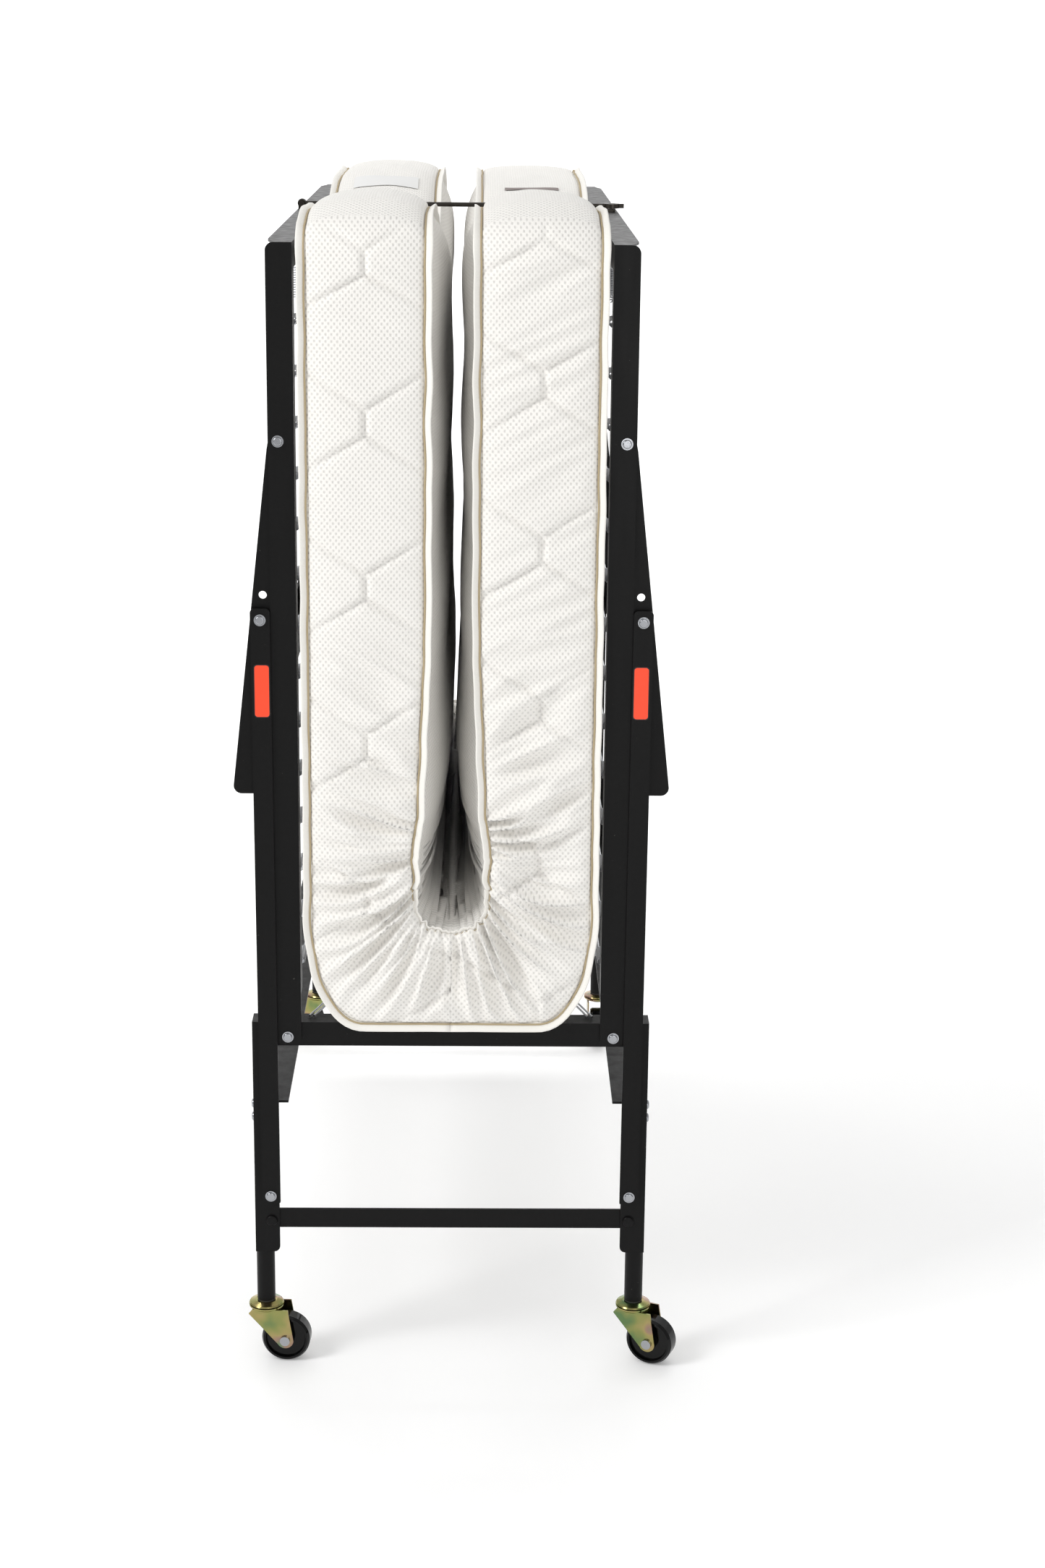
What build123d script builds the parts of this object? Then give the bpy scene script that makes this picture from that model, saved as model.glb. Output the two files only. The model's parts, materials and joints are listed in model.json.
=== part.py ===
"""Rollaway folding bed, folded upright: an angle-iron base on casters, two hinged deck halves
that carry one mattress, an end leg on each half, and the parallel links that steer the end legs.

X runs along the bed when it is open, Y across it, and Z is up. The origin is on the floor, under the
middle. The bed is the same on its left and right and on its near and far side, so most pieces are
drawn once, on the right far corner, and mirrored to the others.
"""

import os

from build123d import *

os.makedirs("parts", exist_ok=True)

# ------------------------------------------------------------------ driving dimensions, in mm
frame_half_width = 482.5  # Y, to the outer face of the base and the end legs: 38 in overall
angle_leg = 25.4  # 1 in angle iron
angle_wall = 2.5
air = 0.3  # between plates that turn past each other
running = 0.05  # radial play of a pivot pin in the plate that turns on it
over = 5.0  # how far a cut runs past the faces it opens
mitre_outside, mitre_inside = 1.0, 4.0  # how far a mitre cut runs past the angle iron

# layers in Y, from the base outwards: deck rail, then link, then rivet heads
deck_layer = frame_half_width + air
deck_face = deck_layer + angle_wall
link_layer = deck_face + air
link_thick = 3.0
head_layer = link_layer + link_thick + air

# pivots in the X-Z plane; A-B-C-D is an exact parallelogram, so an end leg never tilts
reach_x, reach_z = 2.0, 609.9  # from A to B, and from D to C
drop_x, drop_z = 19.6, -174.9  # from A to D, and from B to C
a_x, a_z = 166.2, 365.6  # A: deck half on the base
b_x, b_z = a_x + reach_x, a_z + reach_z  # B: end leg on the deck half
d_x, d_z = a_x + drop_x, a_z + drop_z  # D: link on the base
c_x, c_z = b_x + drop_x, b_z + drop_z  # C: link on the end leg

base_half = 203.0  # X, to the outer face of the base legs
base_top = 380.4
tube_radius = 9.5  # the foot of a base leg is rolled into a tube
tube_bore = 7.8
tube_bottom = 68.0
leg_step = 125.0  # where the angle of a base leg ends
stem_x, stem_y = base_half - tube_radius, frame_half_width - tube_radius

deck_out = 177.9  # X, outer edge of the deck rails when folded
deck_in = deck_out - angle_leg
deck_top = 1164.0
deck_bottom = 357.0
flange_bottom = 410.5  # the flange is notched away below this, to clear the base
corner_radius = 8.0

foot_bottom = 622.8  # underside of the foot bar when folded
leg_outer = 10.1  # end leg: from the line of its holes to its outer edge
leg_inner = angle_leg - leg_outer
spare_hole_up = 23.8  # above C, along the end leg
spare_hole_radius = 4.0

link_width = 19.5
link_over, link_under = 11.4, 8.0  # how far a link runs past C and past D

pin_radius = 3.2
small_rivet = 2.5
head_radius = 5.0

wheel_radius = 25.4  # 2 in casters
wheel_width = 20.0
hub_width = 23.8
trail = 21.3
fork_inside = 24.4
fork_wall = 1.8
axle_radius = 3.0
stem_radius = 4.0
kingpin_radius = 3.5
race_low, race_high = 62.0, 66.5  # the fixed upper race
kingpin_bottom = 56.0
stem_top = 108.0
cheek_round = 8.8  # of the fork, about the axle
# how each caster is turned: near left, near right, far left, far right
caster_turns = {
    ("left", "near"): -5.0,
    ("right", "near"): -24.0,
    ("left", "far"): 156.0,
    ("right", "far"): -90.0,
}

mattress_out = 149.0  # X, face that lies on the deck
mattress_in = 10.0
mattress_top = 1198.0
mattress_bottom = 381.0
mattress_half_width = 484.0
fold_gap = 0.4  # on each side of the mitre between a half and the fold

wire_radius = 1.1
mesh_half = 400.0  # Y, to the outermost long wire
mesh_pitch = 50.0
mesh_low, mesh_high = 437.0, 1087.0
long_wire_x, cross_wire_x = 150.5, 152.9
spring_radius = 4.4
spring_length = 40.0

SIDES = {"left": False, "right": True}
ROWS = {"near": False, "far": True}


# ------------------------------------------------------------------ helpers
def angle_section(corner, first, second):
    """The L outline of the angle iron, from its outer corner along two unit directions."""
    steps = [
        (0, 0),
        (angle_leg, 0),
        (angle_leg, angle_wall),
        (angle_wall, angle_wall),
        (angle_wall, angle_leg),
        (0, angle_leg),
    ]
    points = [
        (corner[0] + u * first[0] + v * second[0], corner[1] + u * first[1] + v * second[1])
        for u, v in steps
    ]
    with BuildSketch(mode=Mode.PRIVATE) as outline:
        with BuildLine():
            Polyline(*points, close=True)
        make_face()
    return outline.sketch


def polygon(points):
    with BuildSketch(mode=Mode.PRIVATE) as outline:
        with BuildLine():
            Polyline(*points, close=True)
        make_face()
    return outline.sketch


def across(y):
    """A sketch plane that faces along -Y, with its own x along X and its y along Z."""
    return Plane.XZ.offset(-y)


def turned(start, direction, steps, crown=0.0):
    """A turned piece about an axis through start. Each step is (from, to, radius) along it,
    and crown rounds the rim of the last end."""
    axis_plane = Plane(origin=start, z_dir=direction)
    with BuildPart() as piece:
        for low, high, radius in steps:
            with BuildSketch(axis_plane.offset(low)):
                Circle(radius)
            extrude(amount=high - low)
        if crown:
            rims = piece.edges().filter_by(GeomType.CIRCLE).sort_by(Axis(start, direction))
            fillet(rims[-1], crown)
    return piece.part


def copies(solids, sides=(True, False), rows=(True, False)):
    """The solids of the right far corner, and their mirror images on the corners asked for."""
    with BuildPart() as group:
        for right in sides:
            for far in rows:
                for solid in solids:
                    add(carried(solid, right, far))
    return group.part


def carried(solid, right, far):
    """One piece of the right far corner, mirrored to the corner asked for."""
    with BuildPart(mode=Mode.PRIVATE) as piece:
        add(solid)
        if not right:
            mirror(about=Plane.YZ, mode=Mode.REPLACE)
        if not far:
            mirror(about=Plane.XZ, mode=Mode.REPLACE)
    return piece.part


def save(part, name):
    part.label = name
    export_step(part, f"parts/{name}.step")


# ------------------------------------------------------------------ base: rails, legs, stretchers
mitre_x = base_half - angle_leg - mitre_inside
mitre_z = base_top - angle_leg - mitre_inside
rail_section = angle_section((frame_half_width, base_top), (0, -1), (-1, 0))
with BuildPart() as base_rail:
    with BuildSketch(Plane.YZ.offset(-base_half)):
        add(rail_section)
    extrude(amount=2 * base_half)
    # 45 degree mitres where the rail meets the legs
    for side in (-1, 1):
        with BuildSketch(across(frame_half_width + over)):
            add(
                polygon(
                    [
                        (side * (base_half + mitre_outside), base_top + mitre_outside),
                        (side * mitre_x, mitre_z),
                        (side * (base_half + mitre_outside), mitre_z),
                    ]
                )
            )
        extrude(amount=angle_leg + 2 * over, mode=Mode.SUBTRACT)
    with BuildSketch(across(frame_half_width)):
        with Locations((a_x, a_z), (-a_x, a_z)):
            Circle(pin_radius)
    extrude(amount=angle_wall, mode=Mode.SUBTRACT)
save(carried(base_rail.part, True, True), "base_rail_far")
save(carried(base_rail.part, True, False), "base_rail_near")

leg_section = angle_section((base_half, frame_half_width), (-1, 0), (0, -1))
with BuildPart() as base_leg:
    with BuildSketch(Plane.XY.offset(leg_step)):
        add(leg_section)
    extrude(amount=base_top - leg_step)
    with BuildSketch(across(frame_half_width + over)):
        add(
            polygon(
                [
                    (base_half + mitre_outside, base_top + mitre_outside),
                    (mitre_x, mitre_z),
                    (mitre_x, base_top + mitre_outside),
                ]
            )
        )
    extrude(amount=angle_leg + 2 * over, mode=Mode.SUBTRACT)
    # the web ends in a rounded shoulder above the rolled tube
    shoulder = base_leg.edges().filter_by(Axis.Y).group_by(Axis.X)[0].sort_by(Axis.Z)[0]
    fillet(shoulder, 6.0)
    with BuildSketch(Plane.XY.offset(tube_bottom)):
        with Locations((stem_x, stem_y)):
            Circle(tube_radius)
    extrude(amount=leg_step + 20 - tube_bottom)
    with BuildSketch(Plane.XY.offset(tube_bottom)):
        with Locations((stem_x, stem_y)):
            Circle(tube_bore)
    extrude(amount=leg_step - 5 - tube_bottom, mode=Mode.SUBTRACT)
    # holes for the link pivot, the stretcher rivet and the cross-member rivets
    stretcher_rivet_z = 160.4
    cross_rivets_z = (272.0, 286.5)
    cross_rivet_y = frame_half_width - 13.0
    with BuildSketch(across(frame_half_width)):
        with Locations((d_x, d_z)):
            Circle(pin_radius)
        with Locations((d_x, stretcher_rivet_z)):
            Circle(pin_radius)
    extrude(amount=angle_wall, mode=Mode.SUBTRACT)
    with BuildSketch(Plane.YZ.offset(base_half)):
        with Locations(*[(cross_rivet_y, z) for z in cross_rivets_z]):
            Circle(small_rivet)
    extrude(amount=-angle_wall, mode=Mode.SUBTRACT)
for side, right in SIDES.items():
    for row, far in ROWS.items():
        save(carried(base_leg.part, right, far), f"base_leg_{side}_{row}")

stretcher_thick = 3.0
stretcher_bottom, stretcher_top = 151.6, 172.4
with BuildPart() as stretcher:
    with BuildSketch(across(frame_half_width - angle_wall)):
        with Locations((0, (stretcher_bottom + stretcher_top) / 2)):
            Rectangle(2 * (base_half - angle_wall - 3), stretcher_top - stretcher_bottom)
        with Locations((d_x, stretcher_rivet_z), (-d_x, stretcher_rivet_z)):
            Circle(pin_radius, mode=Mode.SUBTRACT)
    extrude(amount=stretcher_thick)
    # the end corners are clipped
    chamfer(stretcher.edges().filter_by(Axis.Y), 3.0)
save(carried(stretcher.part, True, True), "stretcher_far")
save(carried(stretcher.part, True, False), "stretcher_near")

cross_top = 293.6
cross_flange = 33.5
cross_out = base_half - angle_wall
with BuildPart() as cross_member:
    with BuildSketch(Plane.XZ.offset(-(frame_half_width - angle_wall - air))):
        add(
            polygon(
                [
                    (cross_out, cross_top),
                    (cross_out, cross_top - angle_leg),
                    (cross_out - angle_wall, cross_top - angle_leg),
                    (cross_out - angle_wall, cross_top - angle_wall),
                    (cross_out - cross_flange, cross_top - angle_wall),
                    (cross_out - cross_flange, cross_top),
                ]
            )
        )
    extrude(amount=2 * (frame_half_width - angle_wall - air))
    for row in (-1, 1):
        with BuildSketch(Plane.YZ.offset(cross_out)):
            with Locations(*[(row * cross_rivet_y, z) for z in cross_rivets_z]):
                Circle(small_rivet)
        extrude(amount=-angle_wall, mode=Mode.SUBTRACT)
save(carried(cross_member.part, True, True), "cross_member_right")
save(carried(cross_member.part, False, True), "cross_member_left")

# ------------------------------------------------------------------ rivets and pivot bolts
cross_rivets = [
    turned(
        (cross_out - angle_wall - 1.6, cross_rivet_y, z),
        (1, 0, 0),
        [(0, 1.6, 4.2), (1.6, 1.6 + 2 * angle_wall, small_rivet), (1.6 + 2 * angle_wall, 9.2, 4.8)],
        crown=2.0,
    )
    for z in cross_rivets_z
]
save(copies(cross_rivets), "cross_member_rivets")

web_inner = frame_half_width - angle_wall
stretcher_rivet = turned(
    (d_x, 0, stretcher_rivet_z),
    (0, 1, 0),
    [
        (web_inner - stretcher_thick - 1.8, web_inner - stretcher_thick, 5.0),
        (web_inner - stretcher_thick, frame_half_width, pin_radius),
        (frame_half_width, frame_half_width + 3.2, 6.0),
    ],
    crown=2.6,
)
save(copies([stretcher_rivet]), "stretcher_rivets")


def pivot_bolt(x, z, tail, head, spacer=None):
    """A shouldered pivot: a tail washer, the pin, an optional spacer, and a crowned head."""
    steps = [(tail - 2.0, tail, 5.6), (tail, head, pin_radius)]
    if spacer:
        steps.append((spacer[0], spacer[1], 6.5))
    steps.append((head, head + 1.0, head_radius + 0.8))
    steps.append((head + 1.0, head + 3.0, head_radius - 0.6))
    return turned((x, 0, z), (0, 1, 0), steps, crown=1.2)


deck_pivot = pivot_bolt(a_x, a_z, web_inner, deck_face + air)
link_pivot = pivot_bolt(d_x, d_z, web_inner, head_layer, (frame_half_width, deck_face))
save(copies([deck_pivot]), "deck_pivot_bolts")
save(copies([link_pivot]), "link_pivot_bolts")

leg_pivot = pivot_bolt(b_x, b_z, web_inner - air, deck_face)
link_end = pivot_bolt(c_x, c_z, web_inner, head_layer, (frame_half_width, deck_face))
for side, right in SIDES.items():
    save(copies([leg_pivot], sides=(right,)), f"{side}_leg_pivot_bolts")
    save(copies([link_end], sides=(right,)), f"{side}_link_end_bolts")

# ------------------------------------------------------------------ deck halves
with BuildPart() as side_rail:
    with BuildSketch(across(deck_face)) as web:
        with Locations(((deck_in + deck_out) / 2, (deck_bottom + deck_top) / 2)):
            Rectangle(angle_leg, deck_top - deck_bottom)
        fillet(web.vertices().group_by(Axis.Y)[0], corner_radius)
        fillet(web.vertices().sort_by(Axis.X)[-2:].sort_by(Axis.Y)[-1], corner_radius)
        with Locations((a_x, a_z)):
            Circle(pin_radius + running, mode=Mode.SUBTRACT)
        with Locations((b_x, b_z)):
            Circle(pin_radius, mode=Mode.SUBTRACT)
    extrude(amount=angle_wall)
    with BuildSketch(across(deck_face)):
        with Locations((deck_in, flange_bottom)):
            Rectangle(
                angle_wall,
                deck_top - angle_leg - flange_bottom,
                align=(Align.MIN, Align.MIN),
            )
    extrude(amount=angle_leg)

end_rail_half = deck_layer  # it fits between the webs of the side rails
with BuildPart() as end_rail:
    with BuildSketch(across(end_rail_half)):
        add(angle_section((deck_in, deck_top), (1, 0), (0, -1)))
    extrude(amount=2 * end_rail_half)
    # the outer edge tapers in towards the rounded corners of the side rails
    taper_length = 40.0
    for row in (-1, 1):
        with BuildSketch(Plane.XY.offset(deck_top)):
            add(
                polygon(
                    [
                        (deck_out - corner_radius, row * end_rail_half),
                        (deck_out, row * (end_rail_half - taper_length)),
                        (deck_out + over, row * (end_rail_half - taper_length)),
                        (deck_out + over, row * (end_rail_half + over)),
                        (deck_out - corner_radius, row * (end_rail_half + over)),
                    ]
                )
            )
        extrude(amount=-angle_wall, mode=Mode.SUBTRACT)

with BuildPart() as link_mesh:
    long_wires = [-mesh_half + mesh_pitch * i for i in range(int(2 * mesh_half / mesh_pitch) + 1)]
    with BuildSketch(Plane.XY.offset(mesh_low - 12)):
        with Locations(*[(long_wire_x, y) for y in long_wires]):
            Circle(wire_radius)
    extrude(amount=mesh_high - mesh_low + 24)
    cross_wires = [mesh_low + mesh_pitch * i for i in range(int((mesh_high - mesh_low) / mesh_pitch) + 1)]
    with BuildSketch(across(mesh_half + 12)):
        with Locations(*[(cross_wire_x, z) for z in cross_wires]):
            Circle(wire_radius)
    extrude(amount=2 * (mesh_half + 12))

spring_x = deck_in + angle_wall / 2
side_spring_y = mesh_half + 15
end_spring_z = mesh_high + 15
with BuildPart() as springs:
    hook = 2.0
    for row in (-1, 1):
        with BuildSketch(Plane.XZ.offset(-row * side_spring_y)):
            with Locations(*[(spring_x, z) for z in cross_wires]):
                Circle(spring_radius)
        extrude(amount=-row * spring_length)
    with BuildSketch(Plane.XY.offset(end_spring_z)):
        with Locations(*[(spring_x, y) for y in long_wires]):
            Circle(spring_radius)
    extrude(amount=deck_top - angle_leg - end_spring_z - hook)

# ------------------------------------------------------------------ mattress: a U on its two decks
corner_x, corner_z = 58.0, 105.0  # half axes of the rounded lower corner
hole_tip_z = 600.0  # the fold leaves an open drop-shaped hole below this
hole_side = (42.0, 512.0)
hole_floor = (0, 478.0)
with BuildSketch(Plane.XZ, mode=Mode.PRIVATE) as half_profile:
    with BuildLine():
        Line((0, mattress_bottom), (mattress_out - corner_x, mattress_bottom))
        EllipticalCenterArc(
            (mattress_out - corner_x, mattress_bottom + corner_z),
            corner_x,
            corner_z,
            start_angle=-90,
            arc_size=90,
        )
        Polyline(
            (mattress_out, mattress_bottom + corner_z),
            (mattress_out, mattress_top),
            (mattress_in, mattress_top),
            (mattress_in, hole_tip_z),
            hole_side,
        )
        ThreePointArc(hole_side, (30.0, 486.0), hole_floor)
        Line(hole_floor, (0, mattress_bottom))
    make_face()

mitre = a_x + a_z  # the mitre is the line x + z = mitre, through pivot A
far_up = 1300.0
groove_half, groove_mouth = 12.0, 37.0  # half widths, clear of the lock rod's eye
groove_floor = 1146.0
with BuildPart() as mattress_half:
    with BuildSketch(across(mattress_half_width)):
        add(half_profile.sketch_local)
    extrude(amount=2 * mattress_half_width)
    with BuildSketch(across(mattress_half_width + over)):
        cut = mitre + fold_gap
        add(polygon([(-10, cut + 10), (cut, 0), (-10, 0)]))
    extrude(amount=2 * (mattress_half_width + over), mode=Mode.SUBTRACT)
    # the groove that the lock rod presses into the end of each half
    with BuildSketch(Plane.YZ.offset(0)):
        add(
            polygon(
                [
                    (-groove_half, groove_floor),
                    (groove_half, groove_floor),
                    (groove_mouth, far_up),
                    (-groove_mouth, far_up),
                ]
            )
        )
    extrude(amount=mattress_out + over, mode=Mode.SUBTRACT)

with BuildPart() as mattress_fold:
    with BuildSketch(across(mattress_half_width)):
        add(half_profile.sketch_local)
        mirror(half_profile.sketch_local, about=Plane.YZ)
    extrude(amount=2 * mattress_half_width)
    for side in (-1, 1):
        with BuildSketch(across(mattress_half_width + over)):
            cut = mitre - fold_gap
            add(polygon([(0, cut), (side * cut, 0), (side * cut, far_up), (0, far_up)]))
        extrude(amount=2 * (mattress_half_width + over), mode=Mode.SUBTRACT)
save(carried(mattress_fold.part, True, True), "mattress_fold")

# wires that carry the fold, hooked into the top flanges of the base rails
with BuildPart() as fold_wire:
    wire_x, wire_z = 127.0, 389.0
    hook_x, hook_y = 145.0, 468.0
    with BuildLine() as route:
        FilletPolyline(
            (hook_x, -hook_y, base_top + 0.6 + wire_radius),
            (wire_x, -hook_y + 34, wire_z),
            (wire_x, hook_y - 34, wire_z),
            (hook_x, hook_y, base_top + 0.6 + wire_radius),
            radius=12,
        )
    with BuildSketch(Plane(origin=route.line @ 0, z_dir=route.line % 0)):
        Circle(wire_radius)
    sweep()
with BuildPart() as fold_wires:
    for shift in (0.0, 4.6):
        with Locations((-shift, 0, 0)):
            add(fold_wire.part)
    mirror(about=Plane.YZ)
save(fold_wires.part, "fold_support_wires")

# ------------------------------------------------------------------ lock rod over the end rails
rod_radius = 2.5
rod_z = deck_top + 6.0
hinge_x = -173.5
rod_end = 185.0
eye_x = 171.5
eye_radius, eye_bore = 8.5, 4.0
barrel_radius, hinge_pin = 5.0, 2.0
ear_thick = 3.0
with BuildPart() as lock_rod:
    with BuildSketch(Plane.YZ.offset(hinge_x + 3)):
        with Locations((0, rod_z)):
            Circle(rod_radius)
    extrude(amount=rod_end - hinge_x - 3)
    with BuildSketch(across(rod_radius)):
        with Locations((hinge_x, rod_z)):
            Circle(barrel_radius)
    extrude(amount=2 * rod_radius)
    with BuildSketch(Plane.XY.offset(rod_z - rod_radius)):
        with Locations((eye_x, 0)):
            Circle(eye_radius)
    extrude(amount=2 * rod_radius)
    with BuildSketch(Plane.XY.offset(rod_z - rod_radius)):
        with Locations((eye_x, 0)):
            Circle(eye_bore)
    extrude(amount=2 * rod_radius, mode=Mode.SUBTRACT)
    with BuildSketch(across(rod_radius)):
        with Locations((hinge_x, rod_z)):
            Circle(hinge_pin + running)
    extrude(amount=2 * rod_radius, mode=Mode.SUBTRACT)
save(lock_rod.part, "lock_rod")

with BuildPart() as rod_hinge:
    ear_gap = rod_radius + air
    for row in (-1, 1):
        with BuildSketch(Plane.XZ.offset(-row * ear_gap)):
            with Locations((hinge_x, rod_z)):
                Circle(4.6)
            with Locations((hinge_x + 2, (deck_top + rod_z) / 2)):
                Rectangle(12, rod_z - deck_top)
        extrude(amount=-row * ear_thick)
    pin_half = ear_gap + ear_thick + 2.0
    with BuildSketch(across(pin_half)):
        with Locations((hinge_x, rod_z)):
            Circle(hinge_pin)
    extrude(amount=2 * pin_half)
save(rod_hinge.part, "lock_rod_hinge")

with BuildPart() as rod_rest:
    with BuildSketch(Plane.XY.offset(deck_top)):
        with Locations((168.0, 0)):
            RectangleRounded(15, 26, 4)
    extrude(amount=2.8)
    fillet(rod_rest.faces().sort_by(Axis.Z)[-1].edges(), 1.0)
save(rod_rest.part, "lock_rod_rest")

# ------------------------------------------------------------------ end legs
slope = drop_x / -drop_z  # of the line of holes, outward for each mm down
edge_out, edge_in = (w * (1 + slope**2) ** 0.5 for w in (leg_outer, leg_inner))


def leg_x(z, edge):
    """X of the end leg at a height, edge mm outward from the line of its holes."""
    return b_x + (b_z - z) * slope + edge


with BuildPart() as end_leg:
    neck_z = b_z - 34
    with BuildSketch(across(frame_half_width)) as end_web:
        with BuildLine():
            Polyline(
                (leg_x(b_z - 8, edge_out), b_z - 8),
                (leg_x(foot_bottom, edge_out), foot_bottom),
                (leg_x(foot_bottom, -edge_in), foot_bottom),
                (leg_x(neck_z, -edge_in), neck_z),
                (b_x - 9.4, b_z + 1),
            )
            ThreePointArc((b_x - 9.4, b_z + 1), (b_x, b_z + 9.4), (b_x + 9.4, b_z + 1))
            Line((b_x + 9.4, b_z + 1), (leg_x(b_z - 8, edge_out), b_z - 8))
        make_face()
        fillet(end_web.vertices().group_by(Axis.Y)[0].sort_by(Axis.X)[-1], corner_radius)
        with Locations((b_x, b_z)):
            Circle(pin_radius + running, mode=Mode.SUBTRACT)
        with Locations((c_x, c_z)):
            Circle(pin_radius, mode=Mode.SUBTRACT)
        with Locations((c_x - spare_hole_up * slope, c_z + spare_hole_up)):
            Circle(spare_hole_radius, mode=Mode.SUBTRACT)
    extrude(amount=angle_wall)
    flange_top, flange_foot = b_z - 16, foot_bottom + angle_leg
    with BuildSketch(across(frame_half_width)):
        add(
            polygon(
                [
                    (leg_x(flange_top, edge_out), flange_top),
                    (leg_x(flange_foot, edge_out), flange_foot),
                    (leg_x(flange_foot, edge_out - angle_wall), flange_foot),
                    (leg_x(flange_top, edge_out - angle_wall), flange_top),
                ]
            )
        )
    extrude(amount=angle_leg)

with BuildPart() as foot_bar:
    foot_out = leg_x(foot_bottom, edge_out)
    with BuildSketch(across(web_inner)):
        add(
            polygon(
                [
                    (foot_out, foot_bottom),
                    (leg_x(flange_foot, edge_out), flange_foot),
                    (leg_x(flange_foot, edge_out - angle_wall), flange_foot),
                    (foot_out - angle_wall, foot_bottom + angle_wall),
                    (foot_out - angle_leg, foot_bottom + angle_wall),
                    (foot_out - angle_leg, foot_bottom),
                ]
            )
        )
    extrude(amount=2 * web_inner)
    # bent like the end legs' corners: the inside first, then the outside
    inner_bend = foot_bar.edges().filter_by(Axis.Y).group_by(Axis.Z)[1].sort_by(Axis.X)[-1]
    fillet(inner_bend, corner_radius - angle_wall)
    outer_bend = foot_bar.edges().filter_by(Axis.Y).group_by(Axis.Z)[0].sort_by(Axis.X)[-1]
    fillet(outer_bend, corner_radius)

# ------------------------------------------------------------------ links
with BuildPart() as link:
    with BuildSketch(across(link_layer + link_thick)) as strap:
        link_low, link_high = d_z - link_under, c_z + link_over
        lean = reach_x / reach_z
        with BuildLine():
            Polyline(
                (d_x - link_under * lean - link_width / 2, link_low),
                (d_x - link_under * lean + link_width / 2, link_low),
                (c_x + link_over * lean + link_width / 2, link_high),
                (c_x + link_over * lean - link_width / 2, link_high),
                close=True,
            )
        make_face()
        fillet(strap.vertices().group_by(Axis.Y)[-1], 4.5)
        fillet(strap.vertices().group_by(Axis.Y)[0], 1.0)
        with Locations((d_x, d_z)):
            Circle(pin_radius + running, mode=Mode.SUBTRACT)
        # the pivot at C is the open one, so its hole is wider
        with Locations((c_x, c_z)):
            Circle(pin_radius + air, mode=Mode.SUBTRACT)
    extrude(amount=link_thick)

for side, right in SIDES.items():
    save(carried(end_rail.part, right, True), f"{side}_end_rail")
    save(carried(link_mesh.part, right, True), f"{side}_link_mesh")
    save(carried(springs.part, right, True), f"{side}_springs")
    save(carried(mattress_half.part, right, True), f"{side}_mattress")
    save(carried(foot_bar.part, right, True), f"{side}_foot_bar")
    for row, far in ROWS.items():
        save(carried(side_rail.part, right, far), f"{side}_side_rail_{row}")
        save(carried(end_leg.part, right, far), f"{side}_end_leg_{row}")
        save(carried(link.part, right, far), f"{side}_link_{row}")

# ------------------------------------------------------------------ casters
with BuildPart() as caster_stem:
    # the stem and the fixed upper race, turned about the swivel axis
    with BuildSketch(Plane.XZ):
        with BuildLine():
            Polyline(
                (0, race_low),
                (17.0, race_low),
                (18.3, 63.2),
                (17.4, 64.6),
                (11.5, race_high),
                (stem_radius, race_high),
                (stem_radius, stem_top - 2),
                (stem_radius - 1, stem_top),
                (0, stem_top),
                close=True,
            )
        make_face()
    revolve(axis=Axis.Z)
    # the kingpin that the fork turns on, with its riveted end under the fork
    with BuildSketch(Plane.XY.offset(kingpin_bottom)):
        Circle(kingpin_radius)
    extrude(amount=race_low - kingpin_bottom)
    with BuildSketch(Plane.XY.offset(kingpin_bottom)):
        Circle(6.0)
    extrude(amount=1.5)

with BuildPart() as caster_socket:
    with BuildSketch(Plane.XY.offset(race_high)):
        Circle(tube_radius - 0.3)
        Circle(stem_radius, mode=Mode.SUBTRACT)
    extrude(amount=tube_bottom - race_high)
    with BuildSketch(Plane.XY.offset(tube_bottom)):
        Circle(tube_bore)
        Circle(stem_radius, mode=Mode.SUBTRACT)
    extrude(amount=stem_top + 4 - tube_bottom)

with BuildPart() as fork:
    cup_low, cup_high = 57.8, 61.7
    cheek_out = fork_inside / 2 + fork_wall
    # the lower race, a shallow dish with the kingpin's hole
    with BuildSketch(Plane.XZ):
        with BuildLine():
            Polyline(
                (kingpin_radius + running, cup_low),
                (15.0, cup_low),
                (18.2, cup_low + 2.4),
                (18.2, cup_high),
                (kingpin_radius + running, cup_high),
                close=True,
            )
        make_face()
    revolve(axis=Axis.Z)
    # a cheek on each side, tapering down to the axle, with an ear behind the race
    for row in (-1, 1):
        with BuildSketch(Plane.XZ.offset(-row * fork_inside / 2)):
            with BuildLine():
                Line((-13.0, cup_low + 2), (24.4, cup_low + 2))
                Line((24.4, cup_low + 2), (trail + cheek_round, wheel_radius))
                ThreePointArc(
                    (trail + cheek_round, wheel_radius),
                    (trail, wheel_radius - cheek_round),
                    (trail - 7.6, wheel_radius - 4.4),
                )
                Line((trail - 7.6, wheel_radius - 4.4), (-17.0, cup_low - 3))
                Line((-17.0, cup_low - 3), (-13.0, cup_low + 2))
            make_face()
        extrude(amount=-row * fork_wall)
    with BuildSketch(Plane.XZ.offset(-cheek_out)):
        with Locations((trail, wheel_radius)):
            Circle(axle_radius)
    extrude(amount=2 * cheek_out, mode=Mode.SUBTRACT)

with BuildPart() as wheel:
    with BuildSketch(Plane.XZ) as half_section:
        with BuildLine():
            Polyline(
                (axle_radius + running, hub_width / 2),
                (8.0, hub_width / 2),
                (9.0, wheel_width / 2 - 3.4),
                (20.0, wheel_width / 2 - 3.4),
                (21.2, wheel_width / 2),
                (23.4, wheel_width / 2),
                (wheel_radius, wheel_width / 2 - 3.0),
                (wheel_radius, 0),
                (axle_radius + running, 0),
                close=True,
            )
        make_face()
        mirror(about=Plane.XZ)
    revolve(axis=Axis.Z)

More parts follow.
